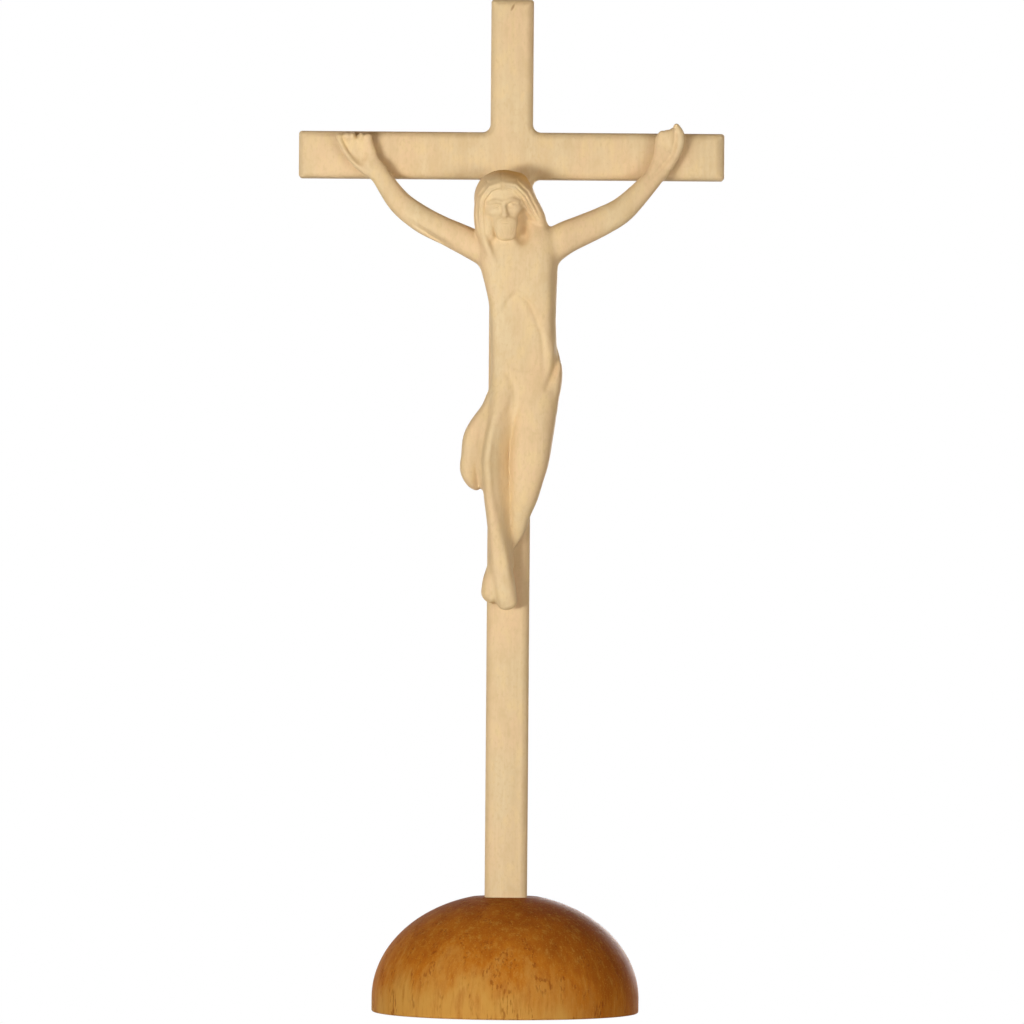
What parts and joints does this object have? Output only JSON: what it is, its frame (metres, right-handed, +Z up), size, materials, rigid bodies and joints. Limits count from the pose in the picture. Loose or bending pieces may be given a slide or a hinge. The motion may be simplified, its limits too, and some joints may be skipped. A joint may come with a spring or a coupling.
{
  "type": "standing cross",
  "caption": "Standing wooden cross with a carved figure, its post pegged into a turned dome base.",
  "frame": {"origin": "centre of the base's underside, on the surface it stands on", "axes": "+Z up along the post, +X along the crossbar to the viewer's right, -Y out of the front, the way the figure faces"},
  "size_m": [0.063, 0.0396, 0.15],
  "materials": {
    "stained_hardwood": "stained orange-brown, satin lacquer",
    "maple": "pale, bare or lightly waxed",
    "beech_dowel": "plain, unfinished, hidden",
    "brass_wire": "plain drawn wire, hidden"
  },
  "bodies": {
    "root": {"base": "stained_hardwood", "post": "maple", "crossbar": "maple", "corpus": "maple", "arm_right": "maple", "arm_left": "maple", "shoulder_peg_right": "beech_dowel", "shoulder_peg_left": "beech_dowel", "back_peg": "beech_dowel", "hand_pin_right": "brass_wire", "hand_pin_left": "brass_wire", "foot_pin": "brass_wire"}
  },
  "joints": []
}
